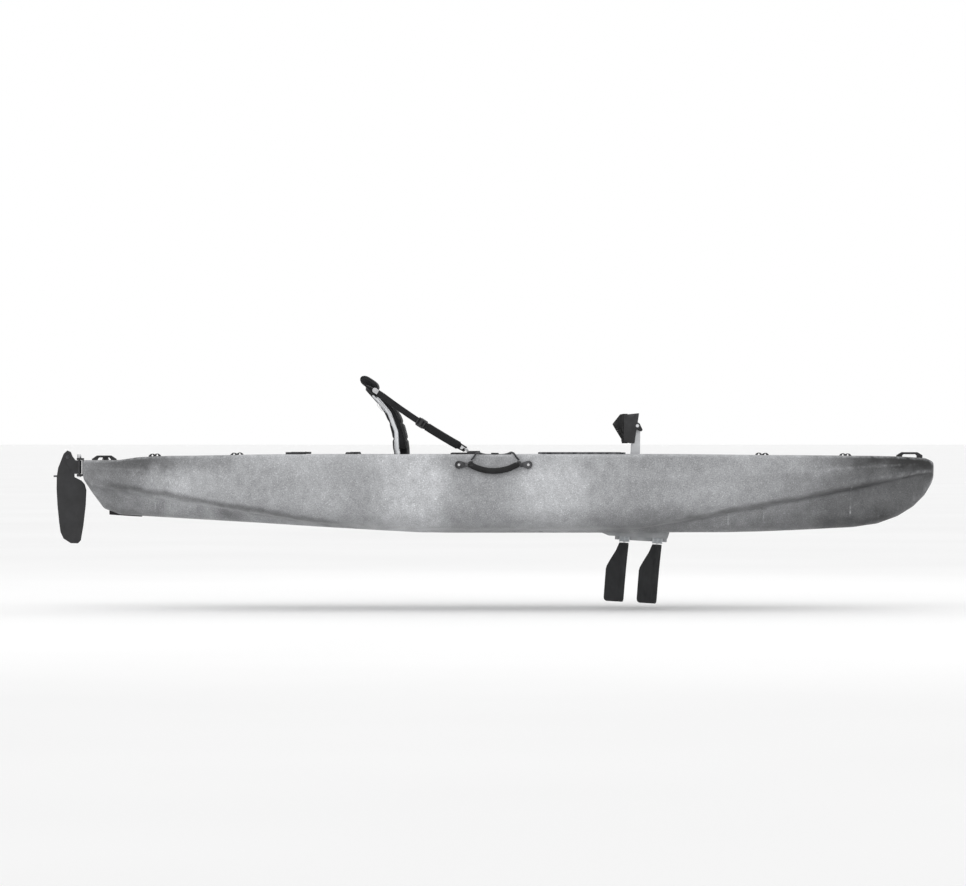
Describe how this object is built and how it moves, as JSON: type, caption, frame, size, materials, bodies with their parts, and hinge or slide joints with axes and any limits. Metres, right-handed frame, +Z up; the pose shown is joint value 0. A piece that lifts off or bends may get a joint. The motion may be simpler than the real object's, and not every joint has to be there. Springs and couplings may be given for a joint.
{
  "type": "pedal boat",
  "caption": "Sit-on-top pedal kayak: moulded hull with a folding strapped seat, a swinging fin drive worked by pedals and a kick-up rudder.",
  "frame": {"origin": "on the flat of the keel, on the centreline, at the middle of the hull's length", "axes": "+X towards the bow, +Y to port, +Z up"},
  "size_m": [3.782, 0.905, 0.9831],
  "materials": {
    "hull_shell": "marbled grey polyethylene with a fine texture",
    "black_plastic": "satin black moulding",
    "black_rubber": "matte black rubber",
    "aluminium_tube": "satin anodised",
    "black_aluminium": "black anodised",
    "steel": "brushed",
    "seat_fabric": "black woven nylon",
    "webbing": "black woven webbing",
    "cord": "braided cord cover",
    "fin_rubber": "satin black rubber",
    "sprocket": "light grey moulding",
    "seal": "soft foam rubber"
  },
  "bodies": {
    "hull": {"hull": "hull_shell", "bow_handle": "black_plastic", "stern_handle": "black_plastic", "side_handle_tabs": "black_plastic", "side_handle_screws": "steel", "deck_padeyes": "black_plastic", "paddle_keeper_hooks": "black_plastic", "paddle_bungee_left": "cord", "paddle_bungee_right": "cord", "rod_holders": "black_plastic", "gear_tracks": "black_aluminium", "hatch_ring": "black_plastic", "keel_guard": "black_rubber", "seat_cushion": "seat_fabric", "seat_brackets": "black_plastic", "seat_pins": "steel", "strap_anchors": "black_plastic", "anchor_rings": "steel", "drive_housing": "black_plastic", "drive_axle": "steel", "rudder_bracket": "black_plastic", "rudder_pintle": "steel", "steering_base": "black_plastic"},
    "hatch_seal": {"hatch_gasket": "seal"},
    "hatch_lid": {"hatch_lid": "black_plastic"},
    "drain_plug": {"drain_plug": "black_plastic"},
    "seat_back": {"seat_back_frame": "aluminium_tube", "seat_back_panel": "seat_fabric", "seat_head_pad": "seat_fabric", "seat_hardware": "steel"},
    "rudder_head": {"rudder_yoke": "black_plastic", "rudder_bolt": "black_aluminium"},
    "rudder_blade": {"rudder_blade": "black_plastic"},
    "steering_handle": {"steering_handle": "black_plastic"},
    "side_handle_left": {"side_handle_left": "black_rubber"},
    "strap_left": {"seat_strap_left": "webbing", "strap_sleeve_left": "seat_fabric", "strap_buckle_left": "black_plastic", "strap_hook_left": "steel"},
    "crank_left": {"crank_left": "aluminium_tube", "drum_left": "black_plastic"},
    "pedal_left": {"pedal_left": "black_plastic", "pedal_strap_left": "black_rubber"},
    "side_handle_right": {"side_handle_right": "black_rubber"},
    "strap_right": {"seat_strap_right": "webbing", "strap_sleeve_right": "seat_fabric", "strap_buckle_right": "black_plastic", "strap_hook_right": "steel"},
    "crank_right": {"crank_right": "aluminium_tube", "drum_right": "black_plastic"},
    "pedal_right": {"pedal_right": "black_plastic", "pedal_strap_right": "black_rubber"},
    "mast_rear": {"fin_sprocket_rear": "sprocket", "fin_mast_rear": "steel"},
    "fin_rear": {"fin_rear": "fin_rubber"},
    "latch_rear": {"drive_latch_rear": "black_plastic"},
    "mast_front": {"fin_sprocket_front": "sprocket", "fin_mast_front": "steel"},
    "fin_front": {"fin_front": "fin_rubber"},
    "latch_front": {"drive_latch_front": "black_plastic"}
  },
  "joints": [
    {"name": "seat_fold", "type": "hinge", "parent": "hull", "child": "seat_back", "pos_m": [-0.455, 0, 0.19], "axis": [0, 1, 0], "range_deg": [0, 65]},
    {"name": "strap_swing_left", "type": "hinge", "parent": "seat_back", "child": "strap_left", "pos_m": [-0.572, 0.238, 0.606], "axis": [0, 1, 0], "range_deg": [-90, 0]},
    {"name": "strap_swing_right", "type": "hinge", "parent": "seat_back", "child": "strap_right", "pos_m": [-0.572, -0.238, 0.606], "axis": [0, 1, 0], "range_deg": [-90, 0]},
    {"name": "crank_swing_left", "type": "hinge", "parent": "hull", "child": "crank_left", "pos_m": [0.537, 0.072, 0.185], "axis": [0, 1, 0], "range_deg": [-28, 28]},
    {"name": "pedal_tilt_left", "type": "hinge", "parent": "crank_left", "child": "pedal_left", "pos_m": [0.545, 0.14, 0.456], "axis": [0, 1, 0], "range_deg": [-40, 40]},
    {"name": "crank_swing_right", "type": "hinge", "parent": "hull", "child": "crank_right", "pos_m": [0.537, -0.072, 0.185], "axis": [0, 1, 0], "range_deg": [-28, 28]},
    {"name": "pedal_tilt_right", "type": "hinge", "parent": "crank_right", "child": "pedal_right", "pos_m": [0.545, -0.14, 0.456], "axis": [0, 1, 0], "range_deg": [-40, 40]},
    {"name": "fin_sweep_rear", "type": "hinge", "parent": "hull", "child": "mast_rear", "pos_m": [0.49511, 0, -0.02104], "axis": [0.9984, 0, -0.0558], "range_deg": [-68, 68]},
    {"name": "fin_twist_rear", "type": "hinge", "parent": "mast_rear", "child": "fin_rear", "pos_m": [0.48953, 0, -0.12088], "axis": [0.0558, 0, 0.9984], "range_deg": [-20, 20], "stiffness_Nm_per_rad": 0.8},
    {"name": "fin_sweep_front", "type": "hinge", "parent": "hull", "child": "mast_front", "pos_m": [0.63689, 0, -0.02896], "axis": [0.9984, 0, -0.0558], "range_deg": [-68, 68]},
    {"name": "fin_twist_front", "type": "hinge", "parent": "mast_front", "child": "fin_front", "pos_m": [0.63131, 0, -0.12881], "axis": [0.0558, 0, 0.9984], "range_deg": [-20, 20], "stiffness_Nm_per_rad": 0.8},
    {"name": "rudder_steer", "type": "hinge", "parent": "hull", "child": "rudder_head", "pos_m": [-1.848, 0, 0.279], "axis": [0, 0, 1], "range_deg": [-45, 45]},
    {"name": "rudder_kick_up", "type": "hinge", "parent": "rudder_head", "child": "rudder_blade", "pos_m": [-1.897, 0, 0.322], "axis": [0, 1, 0], "range_deg": [0, 120]},
    {"name": "steering_turn", "type": "hinge", "parent": "hull", "child": "steering_handle", "pos_m": [0.02, 0.232, 0.296], "axis": [0, 0, 1], "range_deg": [-34, 34]},
    {"name": "hatch_lift", "type": "slide", "parent": "hull", "child": "hatch_seal", "axis": [0, 0, 1], "range_m": [0, 0.05]},
    {"name": "hatch_twist", "type": "hinge", "parent": "hatch_seal", "child": "hatch_lid", "pos_m": [0.17, 0, 0.172], "axis": [0, 0, 1], "range_deg": [0, 90]},
    {"name": "drain_plug_pull", "type": "slide", "parent": "hull", "child": "drain_plug", "axis": [0, 0, 1], "range_m": [0, 0.02]},
    {"name": "latch_turn_rear", "type": "hinge", "parent": "hull", "child": "latch_rear", "pos_m": [0.384, 0, 0.168], "axis": [0, -1, 0], "range_deg": [0, 100]},
    {"name": "latch_turn_front", "type": "hinge", "parent": "hull", "child": "latch_front", "pos_m": [0.694, 0, 0.168], "axis": [0, 1, 0], "range_deg": [0, 100]},
    {"name": "side_handle_swing_left", "type": "hinge", "parent": "hull", "child": "side_handle_left", "pos_m": [-0.0685, 0.44, 0.291], "axis": [1, 0, 0], "range_deg": [0, 110]},
    {"name": "side_handle_swing_right", "type": "hinge", "parent": "hull", "child": "side_handle_right", "pos_m": [-0.0685, -0.44, 0.291], "axis": [-1, 0, 0], "range_deg": [0, 110]}
  ],
  "couplings": [
    {"joint": "strap_swing_left", "follows": "seat_fold", "ratio": -1.38},
    {"joint": "strap_swing_right", "follows": "seat_fold", "ratio": -1.38},
    {"joint": "crank_swing_right", "follows": "crank_swing_left", "ratio": -1},
    {"joint": "fin_sweep_front", "follows": "crank_swing_left", "ratio": 2.4},
    {"joint": "fin_sweep_rear", "follows": "crank_swing_left", "ratio": -2.4},
    {"joint": "steering_turn", "follows": "rudder_steer", "ratio": -0.75}
  ]
}
